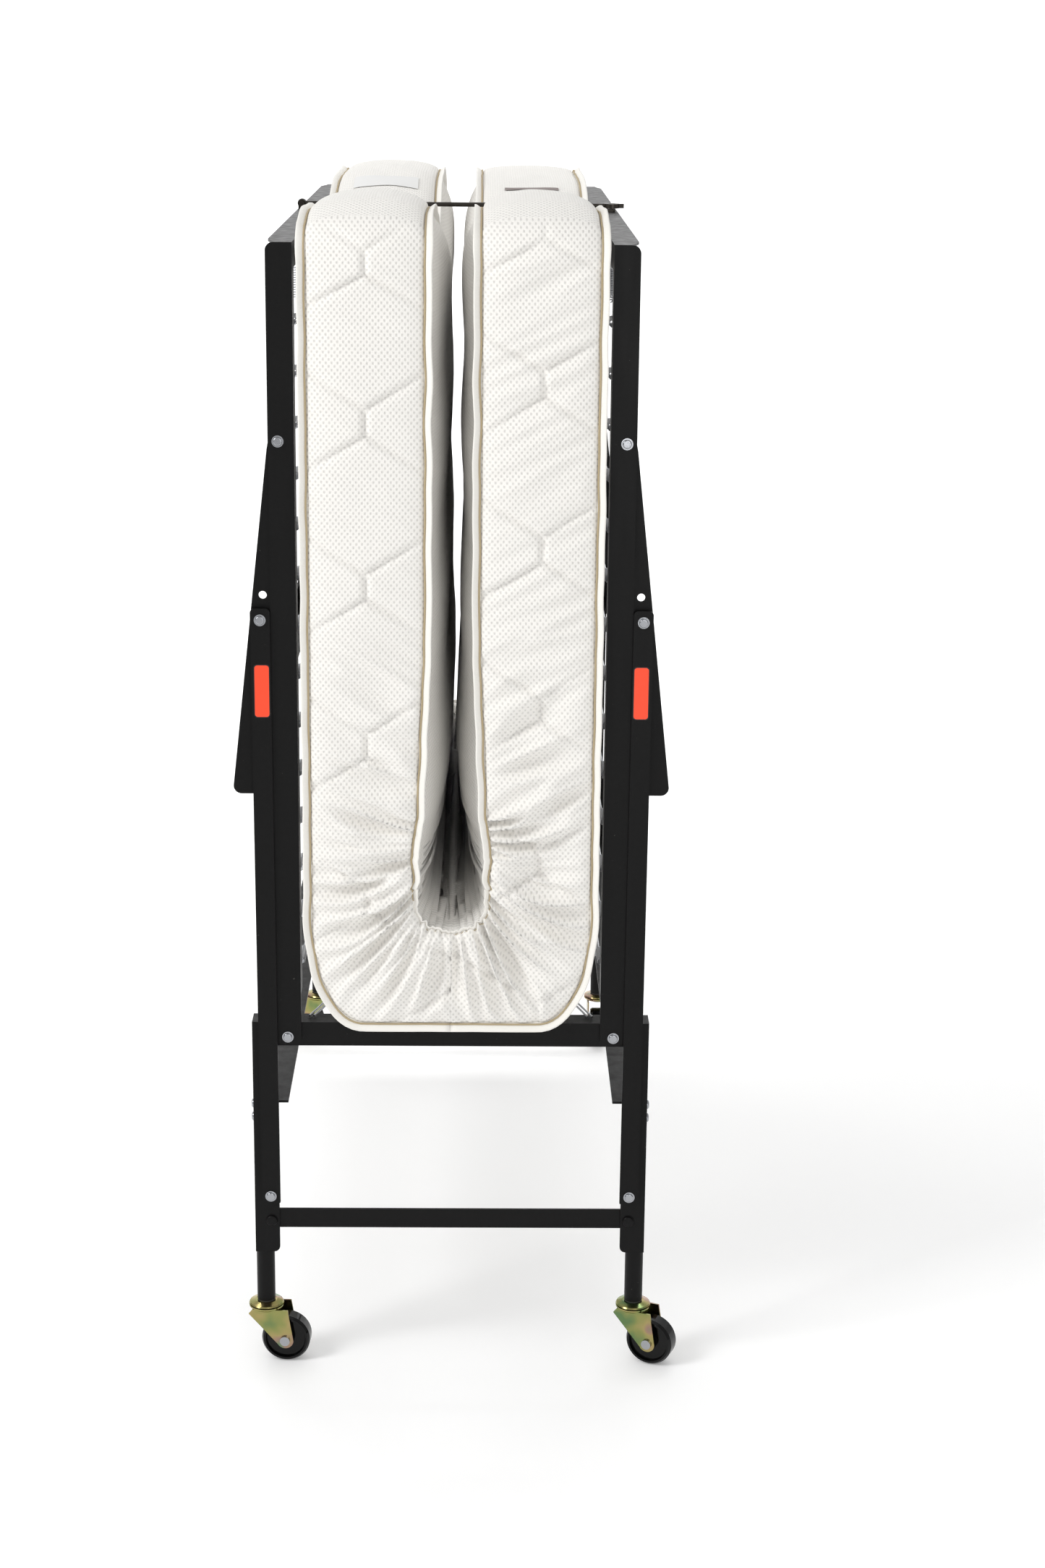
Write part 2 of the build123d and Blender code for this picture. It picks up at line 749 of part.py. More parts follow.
axle = turned(
    (trail, 0, wheel_radius),
    (0, 1, 0),
    [
        (-cheek_out - 2.4, -cheek_out, 5.2),
        (-cheek_out, cheek_out, axle_radius),
        (cheek_out, cheek_out + 2.4, 5.2),
    ],
    crown=1.2,
)


def at_caster(part, side, row, turn=True):
    """A caster piece, drawn about its own swivel axis, moved under its base leg."""
    x = stem_x if side == "right" else -stem_x
    y = stem_y if row == "far" else -stem_y
    angle = caster_turns[(side, row)] if turn else 0
    with BuildPart(mode=Mode.PRIVATE) as piece:
        with Locations(Location((x, y, 0), (0, 0, angle))):
            add(part)
    return piece.part


with BuildPart() as stood_wheel:
    with Locations(Location((trail, 0, wheel_radius), (90, 0, 0))):
        add(wheel.part)

with BuildPart() as stems:
    for side, row in caster_turns:
        add(at_caster(caster_stem.part, side, row, turn=False))
save(stems.part, "caster_stems")
with BuildPart() as sockets:
    for side, row in caster_turns:
        add(at_caster(caster_socket.part, side, row, turn=False))
save(sockets.part, "caster_sockets")
for side, row in caster_turns:
    save(at_caster(fork.part, side, row), f"caster_fork_{side}_{row}")
    save(at_caster(stood_wheel.part, side, row), f"caster_wheel_{side}_{row}")
    save(at_caster(axle, side, row), f"caster_axle_{side}_{row}")
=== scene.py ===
import json
import math

import bpy
from mathutils import Matrix, Vector, noise


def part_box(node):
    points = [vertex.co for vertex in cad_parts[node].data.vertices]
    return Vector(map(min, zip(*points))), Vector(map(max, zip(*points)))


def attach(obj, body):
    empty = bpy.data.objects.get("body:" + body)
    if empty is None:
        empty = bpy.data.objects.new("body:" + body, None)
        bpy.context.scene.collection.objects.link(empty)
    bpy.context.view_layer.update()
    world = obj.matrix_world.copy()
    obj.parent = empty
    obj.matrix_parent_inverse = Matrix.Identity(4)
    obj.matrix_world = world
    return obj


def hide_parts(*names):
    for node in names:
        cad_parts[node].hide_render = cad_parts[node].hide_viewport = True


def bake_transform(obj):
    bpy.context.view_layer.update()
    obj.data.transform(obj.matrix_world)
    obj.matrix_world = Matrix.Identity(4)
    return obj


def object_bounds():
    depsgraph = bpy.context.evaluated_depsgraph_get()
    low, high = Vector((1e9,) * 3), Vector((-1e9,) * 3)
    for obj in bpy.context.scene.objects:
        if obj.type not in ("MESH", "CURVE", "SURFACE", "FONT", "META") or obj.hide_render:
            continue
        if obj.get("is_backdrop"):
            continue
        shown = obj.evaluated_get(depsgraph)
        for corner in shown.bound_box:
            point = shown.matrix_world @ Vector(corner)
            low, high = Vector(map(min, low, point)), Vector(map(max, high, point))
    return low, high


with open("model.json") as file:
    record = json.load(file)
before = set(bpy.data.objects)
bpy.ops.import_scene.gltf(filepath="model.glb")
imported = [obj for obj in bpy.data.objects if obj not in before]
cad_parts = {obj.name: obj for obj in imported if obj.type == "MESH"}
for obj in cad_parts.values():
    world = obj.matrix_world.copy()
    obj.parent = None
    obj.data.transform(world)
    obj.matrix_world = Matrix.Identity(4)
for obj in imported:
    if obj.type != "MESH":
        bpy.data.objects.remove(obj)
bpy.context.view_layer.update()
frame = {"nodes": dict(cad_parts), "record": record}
nodes = frame["nodes"]
MM = 0.001

# ------------------------------------------------------------------ materials
def new_material(name, color, roughness, metallic=0.0):
    """A principled material and its tree, with flat values that a builder below varies."""
    mat = bpy.data.materials.new(name)
    mat.use_nodes = True
    shader = mat.node_tree.nodes["Principled BSDF"]
    shader.inputs["Base Color"].default_value = (*color, 1)
    shader.inputs["Roughness"].default_value = roughness
    shader.inputs["Metallic"].default_value = metallic
    return mat, mat.node_tree, shader


def add(tree, kind, **values):
    """A new node, with each value put on the input or the property of that name."""
    node = tree.nodes.new(kind)
    for key, value in values.items():
        if key in node.inputs:
            node.inputs[key].default_value = value
        else:
            setattr(node, key, value)
    return node


def rest_coordinates(tree):
    return tree.nodes.new("ShaderNodeTexCoord").outputs["Object"]


def noise_of(tree, vector, scale, detail=3.0, stretch=(1, 1, 1)):
    mapping = add(tree, "ShaderNodeMapping")
    mapping.inputs["Scale"].default_value = stretch
    tree.links.new(vector, mapping.inputs["Vector"])
    texture = add(tree, "ShaderNodeTexNoise", Scale=scale, Detail=detail)
    tree.links.new(mapping.outputs["Vector"], texture.inputs["Vector"])
    return texture.outputs["Fac"]


def ramp_of(tree, factor, stops):
    ramp = tree.nodes.new("ShaderNodeValToRGB")
    elements = ramp.color_ramp.elements
    while len(elements) < len(stops):
        elements.new(0.5)
    for element, (place, color) in zip(elements, stops):
        element.position = place
        element.color = (*color, 1)
    tree.links.new(factor, ramp.inputs["Fac"])
    return ramp.outputs["Color"]


def bump_of(tree, height, shader, strength, distance):
    bump = add(tree, "ShaderNodeBump", Strength=strength, Distance=distance)
    tree.links.new(height, bump.inputs["Height"])
    tree.links.new(bump.outputs["Normal"], shader.inputs["Normal"])


def math_of(tree, operation, a, b):
    node = add(tree, "ShaderNodeMath", operation=operation)
    for socket, value in zip(node.inputs, (a, b)):
        if isinstance(value, (int, float)):
            socket.default_value = value
        else:
            tree.links.new(value, socket)
    return node.outputs[0]


def powder_coat():
    mat, tree, shader = new_material("powder_coat", (0.007, 0.007, 0.0072), 0.42)
    shader.inputs["Specular IOR Level"].default_value = 0.14
    at = rest_coordinates(tree)
    chips = noise_of(tree, at, 260, 2)
    base = ramp_of(tree, chips, [(0.0, (0.0035, 0.0035, 0.0037)), (0.77, (0.005, 0.0049, 0.0048)),
                                 (0.79, (0.06, 0.057, 0.053))])
    tree.links.new(base, shader.inputs["Base Color"])
    scuffs = noise_of(tree, at, 30, 5, (3, 3, 0.4))
    rough = ramp_of(tree, scuffs, [(0.3, (0.33, 0.33, 0.33)), (0.75, (0.5, 0.5, 0.5))])
    tree.links.new(rough, shader.inputs["Roughness"])
    bump_of(tree, noise_of(tree, at, 900, 2), shader, 0.12, 0.0004)
    return mat


def zinc(name, color, roughness):
    mat, tree, shader = new_material(name, color, roughness, 1.0)
    at = rest_coordinates(tree)
    patches = noise_of(tree, at, 120, 4)
    rough = ramp_of(tree, patches, [(0.3, (roughness * 0.8,) * 3), (0.7, (roughness * 1.3,) * 3)])
    tree.links.new(rough, shader.inputs["Roughness"])
    bump_of(tree, noise_of(tree, at, 700, 3), shader, 0.15, 0.0003)
    return mat


def yellow_zinc():
    mat, tree, shader = new_material("yellow_zinc", (0.5, 0.42, 0.2), 0.2, 1.0)
    at = rest_coordinates(tree)
    hues = ramp_of(tree, noise_of(tree, at, 30, 2), [
        (0.30, (0.13, 0.21, 0.09)), (0.42, (0.27, 0.28, 0.10)), (0.52, (0.38, 0.31, 0.13)),
        (0.60, (0.34, 0.22, 0.17)), (0.70, (0.16, 0.24, 0.14))])
    tree.links.new(hues, shader.inputs["Base Color"])
    bump_of(tree, noise_of(tree, at, 500, 3), shader, 0.05, 0.0003)
    return mat


def plastic(name, color, roughness, coat, specular=0.5):
    mat, tree, shader = new_material(name, color, roughness)
    shader.inputs["Specular IOR Level"].default_value = specular
    shader.inputs["Coat Weight"].default_value = coat
    shader.inputs["Coat Roughness"].default_value = 0.08
    at = rest_coordinates(tree)
    rough = ramp_of(tree, noise_of(tree, at, 150, 4),
                    [(0.3, (roughness * 0.8,) * 3), (0.75, (roughness * 1.4,) * 3)])
    tree.links.new(rough, shader.inputs["Roughness"])
    bump_of(tree, noise_of(tree, at, 400, 2), shader, 0.05, 0.0003)
    return mat


def knit(name, color, across_axis, along_axis, pitch, depth):
    """Warm-white knit with staggered dot hollows, darkened in colour by painted shade, laid out on two of
    the rest axes.
    """
    mat, tree, shader = new_material(name, color, 0.85)
    shader.inputs["Sheen Weight"].default_value = 0.25
    shader.inputs["Sheen Roughness"].default_value = 0.5
    at = rest_coordinates(tree)
    split = tree.nodes.new("ShaderNodeSeparateXYZ")
    tree.links.new(at, split.inputs[0])
    row_step = pitch * 0.6
    waves = []
    for axis, turn in ((across_axis, 2 * math.pi / pitch), (along_axis, math.pi / row_step)):
        angle = math_of(tree, "MULTIPLY", split.outputs[axis], turn)
        waves.append(math_of(tree, "COSINE", angle, 0.0))
    dots = math_of(tree, "MULTIPLY", waves[0], waves[1])
    dots = math_of(tree, "MAXIMUM", dots, 0.0)
    fine = noise_of(tree, at, 1400, 2)
    hollows = math_of(tree, "MULTIPLY", dots, -1.0)
    fuzz = math_of(tree, "MULTIPLY", fine, 0.35)
    height = math_of(tree, "ADD", hollows, fuzz)
    # painted shade: the base colour drops to 80% in the dot hollows, on top of the bump that sinks them
    hollow_painted_shade = ramp_of(tree, dots, [(0.25, color), (0.9, tuple(c * 0.80 for c in color))])
    tree.links.new(hollow_painted_shade, shader.inputs["Base Color"])
    bump_of(tree, height, shader, 0.5, depth)
    return mat


def tape_cloth():
    mat, tree, shader = new_material("tape_cloth", (0.86, 0.84, 0.79), 0.8)
    shader.inputs["Sheen Weight"].default_value = 0.2
    at = rest_coordinates(tree)
    ribs = add(tree, "ShaderNodeTexWave", Scale=260.0, Distortion=0.4)
    ribs.bands_direction = "Z"
    tree.links.new(at, ribs.inputs["Vector"])
    bump_of(tree, ribs.outputs["Fac"], shader, 0.25, 0.0006)
    return mat


def plain_cloth(name, color):
    mat, tree, shader = new_material(name, color, 0.85)
    bump_of(tree, noise_of(tree, rest_coordinates(tree), 1200, 2), shader, 0.3, 0.0003)
    return mat


WHITE = (0.87, 0.85, 0.81)
KNIT_PITCH = 5.6 * MM
black = powder_coat()
bright = zinc("zinc_hardware", (0.36, 0.37, 0.39), 0.2)
wire = zinc("spring_wire", (0.50, 0.51, 0.53), 0.35)
dark_wire = zinc("lock_wire", (0.05, 0.045, 0.04), 0.35)
yellow = yellow_zinc()
wheel_black = plastic("wheel_black", (0.002, 0.002, 0.002), 0.12, 0.0, 0.22)
socket_black = plastic("socket_plastic", (0.02, 0.02, 0.02), 0.5, 0.0)
knit_side = knit("knit_side", WHITE, 0, 2, KNIT_PITCH, 0.0016)
knit_face = knit("knit_face", WHITE, 1, 2, KNIT_PITCH, 0.0012)
knit_end = knit("knit_end", WHITE, 0, 1, KNIT_PITCH, 0.0014)
tape = tape_cloth()
seam_tan = plain_cloth("seam_tan", (0.42, 0.34, 0.21))
tag_white = plain_cloth("tag_white", (0.78, 0.78, 0.77))
tag_taupe = plain_cloth("tag_taupe", (0.26, 0.22, 0.21))
sticker_orange = plastic("sticker_orange", (0.93, 0.055, 0.006), 0.38, 0.2)
sticker_border = plastic("sticker_border", (0.01, 0.01, 0.01), 0.45, 0.0)

FINISH = {
    "frame_paint": black,
    "zinc_hardware": bright,
    "yellow_zinc": yellow,
    "socket_plastic": socket_black,
    "spring_wire": wire,
    "lock_wire": dark_wire,
    "mattress_cloth": knit_side,
    "wheel_plastic": wheel_black,
}
for part in frame["record"]["subparts"]:
    mesh = nodes[part["node"]].data
    mesh.materials.clear()
    mesh.materials.append(FINISH[part["material_slot"]])


# ------------------------------------------------------------------ mesh helpers
def mesh_piece(name, points, faces, materials, face_material=None, smooth=True):
    mesh = bpy.data.meshes.new(name)
    mesh.from_pydata(points, [], faces)
    for material in materials:
        mesh.materials.append(material)
    if face_material:
        mesh.polygons.foreach_set("material_index", face_material)
    mesh.polygons.foreach_set("use_smooth", [smooth] * len(mesh.polygons))
    mesh.validate()
    piece = bpy.data.objects.new(name, mesh)
    bpy.context.scene.collection.objects.link(piece)
    return piece


def smoothstep(low, high, value):
    t = min(1.0, max(0.0, (value - low) / (high - low)))
    return t * t * (3 - 2 * t)


def sweep(path, sides, section):
    """Points and faces of a closed tube: section(i, k) gives ring i's offset at corner k."""
    points = [tuple(Vector(p) + section(i, k)) for i, p in enumerate(path) for k in range(sides)]
    faces = []
    for i in range(len(path) - 1):
        ring, following = i * sides, (i + 1) * sides
        for k in range(sides):
            beside = (k + 1) % sides
            faces.append((ring + k, ring + beside, following + beside, following + k))
    faces.append(tuple(range(sides))[::-1])
    faces.append(tuple((len(path) - 1) * sides + k for k in range(sides)))
    return points, faces


# ------------------------------------------------------------------ mattress
slab_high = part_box("right_mattress")[1]
BOTTOM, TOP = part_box("mattress_fold")[0].z, slab_high.z
HALF_WIDTH = slab_high.y
ROD_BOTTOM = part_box("lock_rod")[0].z
OUT = slab_high.x - 8 * MM  # outer edge of the boxing, inside the crown
INNER_EDGE = 27 * MM  # inner edge of the boxing at the top
INNER_LEAN, LEAN_TOP = 7 * MM, 800 * MM  # it leans out this far between that height and the hole
CORNER_X, CORNER_Z = 54 * MM, 105 * MM
HOLE_TIP = 600 * MM
STRAIGHT = TOP - HOLE_TIP
FOLD_SHARE = 0.36  # of the rows, in the fold
PUCKER_DEPTH, PUCKER_SCALE = 6 * MM, 75  # of the fold's inner edge
END_ROUNDING = 14 * MM  # from the middle of the end down to its inner and outer edges
TUCK, TUCK_FROM = 16 * MM, 0.965  # rounding of the near and far edges, and the row where it starts

QUILT_PITCH, QUILT_STEM, QUILT_SLOPE = 160 * MM, 25 * MM, 0.6
QUILT_WIDTH = 2.6 * MM  # of a stitched groove
BOXING_QUILT, FACE_QUILT = 4.6 * MM, 1.6 * MM  # groove depths
BOXING_MIDDLE = {-1: 84 * MM, 1: 88 * MM}  # X of the quilting's stems, by side
BOXING_FIRST = {-1: 22 * MM, 1: 60 * MM}  # Z of the lowest stem, by side
FACE_COLUMN, FACE_FIRST = 0.19, 22 * MM

CREASE_DEPTH, FINE_DEPTH = 9.5 * MM, 5 * MM  # of the gathers
GATHER_RUN, GATHER_LEAN = 34, 1.8
FAINT = {-1: 0.10, 1: 0.22}  # share of the gathers that is left on the slabs, by side

BOXING_BULGE, FACE_BULGE, UNEVEN = 9 * MM, 7 * MM, 2 * MM
HOLE_SWELL, LIP_SWELL, SLAB_SWELL = 12 * MM, 30 * MM, 19.5 * MM  # of the inner face
LIP_LOW, LIP_HIGH = 0.62, 0.82  # Z over which it thins
SWELL_WAVE = 1.5 * MM
TUCK_CLOTH = 3.5 * MM  # loose cloth inside the hole
CENTRE_GAP = 0.6 * MM  # left between the two inner faces

END_SWELL, END_UNEVEN = 8 * MM, 2.5 * MM
FAR_SINK = {-1: 6 * MM, 1: 18 * MM}  # how much lower the far lobe is, by side
LOBE_TOP, ROD_CLEARANCE = 7 * MM, 1.5 * MM
DIP_NEAR, DIP_FAR = 170 * MM, 110 * MM  # reach of the dip under the rod, either way along Y
CORNER_DROP, CORNER_REACH = 11 * MM, 70 * MM
DROP_REACH = 150 * MM  # height over which the slab gives way to its end

ROWS, ACROSS, WIDE = 170, 42, 76
BOXING_ROWS = 2 * ROWS
WELD_DISTANCE = 0.8 * MM


def along(curve, share):
    """The point at a share of a polyline's length."""
    lengths = [(b - a).length for a, b in zip(curve, curve[1:])]
    left = share * sum(lengths)
    for a, b, length in zip(curve, curve[1:], lengths):
        if left <= length:
            return a.lerp(b, left / length)
        left -= length
    return curve[-1]


def quarter(steps=24):
    """The rounded lower corner, from the bottom to the outer face."""
    centre = Vector((OUT - CORNER_X, BOTTOM + CORNER_Z))
    turns = [math.pi / 2 * i / steps for i in range(steps + 1)]
    return [centre + Vector((CORNER_X * math.sin(t), -CORNER_Z * math.cos(t))) for t in turns]


outer_fold = [Vector((0, BOTTOM)), *quarter(), Vector((OUT, HOLE_TIP))]
inner_fold = [Vector(p) * MM for p in ((0, 478), (15, 480), (28, 487), (36, 500), (38, 516), (38, 536),
                                       (40, 556), (38, 576), (34, 600))]


def profile(s, t):
    """XZ of a boxing point: s from the middle of the fold to the end, t from the inner to the outer edge."""
    if s < FOLD_SHARE:
        share = s / FOLD_SHARE
        inner, outer = along(inner_fold, share), along(outer_fold, share)
        pucker = PUCKER_DEPTH * noise.noise(Vector((s * PUCKER_SCALE, 0, 5)))
        pucker *= (1 - smoothstep(0.14, 0.30, s)) * smoothstep(0, 0.01, s)
        return (inner + (outer - inner).normalized() * pucker).lerp(outer, t)
    rounding = END_ROUNDING * (1 - (4 * t * (1 - t)) ** 0.4) * smoothstep(0.92, 1, s)
    z = HOLE_TIP + STRAIGHT * (s - FOLD_SHARE) / (1 - FOLD_SHARE)
    inner_x = INNER_EDGE + INNER_LEAN * (1 - smoothstep(HOLE_TIP, LEAN_TOP, z))
    return Vector((inner_x + (OUT - inner_x) * t, z - rounding))


def outward(s, t, step):
    """The way out of the slab at its inner or outer edge, in XZ."""
    run = profile(min(1, s + step), t) - profile(max(0, s - step), t)
    return Vector((run.y, -run.x)).normalized() * (1 if t > 0.5 else -1)


def end_fade(s):
    """From 1 on the slab to 0 at its end, where the faces meet."""
    return 1 - max(0.0, (s - 0.90) / 0.10) ** 4


def turn_over(s):
    """From 0 on the slab to 1 where its side has rounded into its end."""
    return max(0.0, (s - TUCK_FROM) / (1 - TUCK_FROM))


def tuck(s):
    """How far the near and far edges draw in where a slab's side rounds into its end."""
    k = turn_over(s)
    return TUCK * (1 - math.sqrt(1 - k * k))


def quilting(x, z, mid, first):
    """Groove depth share of hexagon quilting, from the distance to its lines."""
    v = (z - first) % QUILT_PITCH
    u = abs(x - mid)
    lean = math.sqrt(1 + QUILT_SLOPE * QUILT_SLOPE)
    gaps = [abs(v - QUILT_PITCH + QUILT_SLOPE * u) / lean, abs(v - QUILT_STEM - QUILT_SLOPE * u) / lean]
    if v < QUILT_STEM:
        gaps.append(u)
    return math.exp(-((min(gaps) / QUILT_WIDTH) ** 2))


def gathers(s, t, side, seed):
    """Radial wrinkles, deepest at the inner edge of the fold and fading up the slab."""
    run = side * (s * GATHER_RUN - GATHER_LEAN * t * smoothstep(0, 0.3, s))
    wave = noise.noise(Vector((run * 1.25, t * 1.1, seed)))
    fine = noise.noise(Vector((run * 2.7, t * 1.8, seed + 7)))
    crease = (1 - abs(wave) * 3.2) - 0.35
    depth = 1 - smoothstep(FOLD_SHARE * 0.6, FOLD_SHARE + 0.30, s)
    return (crease * CREASE_DEPTH + fine * FINE_DEPTH) * (depth * (1.35 - 0.85 * t) + FAINT[side])


def inner_swell(s, z):
    """How far the inner face stands proud of its edges: little in the hole, most just above it."""
    if s < FOLD_SHARE:
        return HOLE_SWELL + (LIP_SWELL - HOLE_SWELL) * smoothstep(0.05, 0.30, s)
    lip = 1 - smoothstep(LIP_LOW, LIP_HIGH, z)
    wave = SWELL_WAVE * math.cos(2 * math.pi * z / QUILT_PITCH)
    return SLAB_SWELL + (LIP_SWELL - SLAB_SWELL) * lip + wave


def end_point(u, y, side):
    """A point of the slab's end, before it sinks under the rod: u from the inner to the outer edge."""
    at = profile(1, u)
    swell = END_SWELL - FAR_SINK[side] * smoothstep(0.02, 0.18, y)
    swell += END_UNEVEN * noise.noise(Vector((u * 3, y * 12, 3)))
    edge_share = abs(y) / (HALF_WIDTH - TUCK)
    rise = swell * max(0.0, 4 * u * (1 - u)) ** 0.5 * max(0.0, 1 - edge_share ** 6)
    return at.x, y, at.y + rise


def end_drop(y):
    """How far the end of the slab sinks: under the rod, and a little at its corners."""
    reach = DIP_NEAR if y < 0 else DIP_FAR
    dip = (TOP + LOBE_TOP - (ROD_BOTTOM - ROD_CLEARANCE)) * math.exp(-((y / reach) ** 2))
    return dip + CORNER_DROP * smoothstep(HALF_WIDTH - CORNER_REACH, HALF_WIDTH, abs(y))


def place(x, y, z, side):
    """A point drawn on +X, on its own side and with the end's drop."""
    reach = smoothstep(TOP - DROP_REACH, TOP, z)
    return (side * x, y, z - end_drop(y) * reach)


def width_place(v):
    """Y from edge to edge, closer together near the edges."""
    return HALF_WIDTH * math.sin(math.pi * (v - 0.5)) * 0.35 + HALF_WIDTH * 2 * (v - 0.5) * 0.65


def crown(y):
    return 1 - (abs(y) / HALF_WIDTH) ** 6


def mattress_half(name, side):
    """One half of the U, closed, with crowned faces, quilted boxing and gathered fold."""
    points, faces, kinds = [], [], []

    def grid(nu, nv, where, kind, flip):
        start = len(points)
        for i in range(nu + 1):
            for j in range(nv + 1):
                points.append(place(*where(i / nu, j / nv), side))
        for i in range(nu):
            for j in range(nv):
                a = start + i * (nv + 1) + j
                quad = (a, a + 1, a + nv + 2, a + nv + 1)
                faces.append(quad[::-1] if flip else quad)
                kinds.append(kind)

    def boxing(row):
        """The near or far side: bulged, quilted, gathered and slightly uneven."""
        def where(s, t):
            at = profile(s, t)
            rim = max(0.0, 4 * t * (1 - t)) ** 0.45
            lift = BOXING_BULGE * rim
            lift -= BOXING_QUILT * quilting(at.x, at.y, BOXING_MIDDLE[side], BOXING_FIRST[side]) * rim
            lift += gathers(s, t, side, 20 + 5 * row) * rim
            lift += UNEVEN * noise.noise(Vector((side * at.x * 14, at.y * 9, 3 * row))) * rim
            return at.x, row * (HALF_WIDTH - tuck(s) + lift * end_fade(s)), at.y
        return where

    def face(t):
        """The outer face (t 1), quilted, or the inner face (t 0), with loose cloth in the hole."""
        def where(s, v):
            y = width_place(v) * (1 - tuck(s) / HALF_WIDTH)
            at = profile(s, t)
            out = outward(s, t, 0.004)
            if t > 0.5:
                swell = FACE_BULGE * crown(y)
                column = round(y / FACE_COLUMN) * FACE_COLUMN
                swell -= FACE_QUILT * quilting(y, at.y, column, FACE_FIRST) * crown(y)
            else:
                swell = inner_swell(s, at.y) * crown(y)
                loose = 0.2 + 1 - smoothstep(FOLD_SHARE * 0.7, FOLD_SHARE + 0.1, s)
                swell += TUCK_CLOTH * noise.noise(Vector((side * s * 30, y * 2.5, 2))) * loose * crown(y)
            swell *= end_fade(s)
            if s < 1e-6:
                out.x = 0
            return max(min(at.x, CENTRE_GAP), at.x + out.x * swell), y, at.y + out.y * swell
        return where

    def end(u, v):
        return end_point(u, width_place(v) * (1 - TUCK / HALF_WIDTH), side)

    right = side > 0
    grid(BOXING_ROWS, ACROSS, boxing(-1), 0, right)
    grid(BOXING_ROWS, ACROSS, boxing(1), 0, not right)
    grid(ROWS, WIDE, face(1), 1, right)
    grid(ROWS, WIDE, face(0), 1, not right)
    grid(ACROSS, WIDE, end, 2, not right)
    piece = mesh_piece(name, points, faces, [knit_side, knit_face, knit_end], kinds)
    weld = piece.modifiers.new("weld", "WELD")
    weld.merge_threshold = WELD_DISTANCE
    return piece


def apply_modifiers(piece):
    evaluated = piece.evaluated_get(bpy.context.evaluated_depsgraph_get())
    mesh = bpy.data.meshes.new_from_object(evaluated)
    piece.modifiers.clear()
    piece.data = mesh


EDGE_STEPS, END_STEPS = 140, 80
SIDEWAYS, FORWARD = 0.75, 0.66  # share of each in the way a tape stands out


def edge_path(t):
    """Along one edge of a slab on +X: up its near side, back over its end and down its far side. Gives
    points, the way the tape stands out, the way across the boxing, and s."""
    facing = 1 if t > 0.5 else -1
    rise = []
    for i in range(EDGE_STEPS + 1):
        s = i / EDGE_STEPS
        at = profile(s, t)
        out = outward(s, t, 0.007)
        over = turn_over(s)
        way = Vector((SIDEWAYS * out.x, FORWARD * (over - 1), SIDEWAYS * out.y + FORWARD * over))
        rise.append((Vector((at.x, tuck(s) - HALF_WIDTH, at.y)), way, Vector((out.x, 0, out.y)), s))
    end_at = profile(1, t)
    level = []
    for i in range(1, END_STEPS):
        y = (HALF_WIDTH - TUCK) * (2 * i / END_STEPS - 1)
        way = Vector((SIDEWAYS * facing, 0, FORWARD))
        level.append((Vector((end_at.x, y, end_at.y)), way, Vector((facing, 0, 0)), 1.0))
    flip = Vector((1, -1, 1))
    fall = [(at * flip, way * flip, across, s) for at, way, across, s in reversed(rise)]
    return rise + level + fall


RIPPLE, RIPPLE_SCALE = 4 * MM, 0.16
SUNK_SIZE = 0.45  # of the inner tape, where the fold's gathers swallow it
TAPE_SIDES = 10


def edging(name, side, t, reach, thick, out, material, inset):
    """A tape or seam along a slab's edge, standing reach proud on the diagonal."""
    stations = edge_path(t)
    seed = 5 + t
    centres, prouds, sizes = [], [], []
    for i, (at, way, across, s) in enumerate(stations):
        near = [stations[k][1] for k in range(max(0, i - 2), min(len(stations), i + 3))]
        way = sum(near, Vector()).normalized()
        size = SUNK_SIZE + (1 - SUNK_SIZE) * smoothstep(0.10, 0.26, s) if t < 0.5 else 1.0
        ripple = RIPPLE * noise.noise(Vector((i * RIPPLE_SCALE, seed, 0))) * smoothstep(0, 0.06, s)
        at = at - across * inset
        proud = Vector((side * way.x, way.y, way.z))
        centres.append(Vector(place(at.x, at.y, at.z, side)) + proud * (out * size + ripple * 0.5))
        prouds.append(proud)
        sizes.append(size)

    def section(i, k):
        run = centres[min(i + 1, len(centres) - 1)] - centres[max(i - 1, 0)]
        turn = 2 * math.pi * k / TAPE_SIDES
        flat = prouds[i].cross(run).normalized()
        return (prouds[i] * (reach / 2 * math.cos(turn)) + flat * (thick / 2 * math.sin(turn))) * sizes[i]

    points, faces = sweep(centres, TAPE_SIDES, section)
    return mesh_piece(name, points, faces, [material])


PIPING = {"reach": 12 * MM, "thick": 3.2 * MM, "out": 4.0 * MM, "material": tape, "inset": 0.0}
SEAM = {"reach": 2.0 * MM, "thick": 2.0 * MM, "out": 4.6 * MM, "material": seam_tan, "inset": 3.2 * MM}
for side_name, side in (("left", -1), ("right", 1)):
    pad = mattress_half(f"mattress_{side_name}", side)
    apply_modifiers(pad)
    covered = [f"{side_name}_mattress"] + (["mattress_fold"] if side > 0 else [])
    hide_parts(*covered)
    soft = [pad]
    for edge_name, t in (("inner", 0), ("outer", 1)):
        soft.append(edging(f"piping_{side_name}_{edge_name}", side, t, **PIPING))
        soft.append(edging(f"seam_{side_name}_{edge_name}", side, t, **SEAM))
    for piece in soft:
        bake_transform(piece)


# ------------------------------------------------------------------ springs of the link mesh
COIL_RADIUS, COIL_WIRE, COIL_TURNS, COIL_HOOK = 3.6 * MM, 0.75 * MM, 13, 2 * MM
COIL_STEPS, COIL_SIDES = 9, 5  # points per turn, corners of the wire


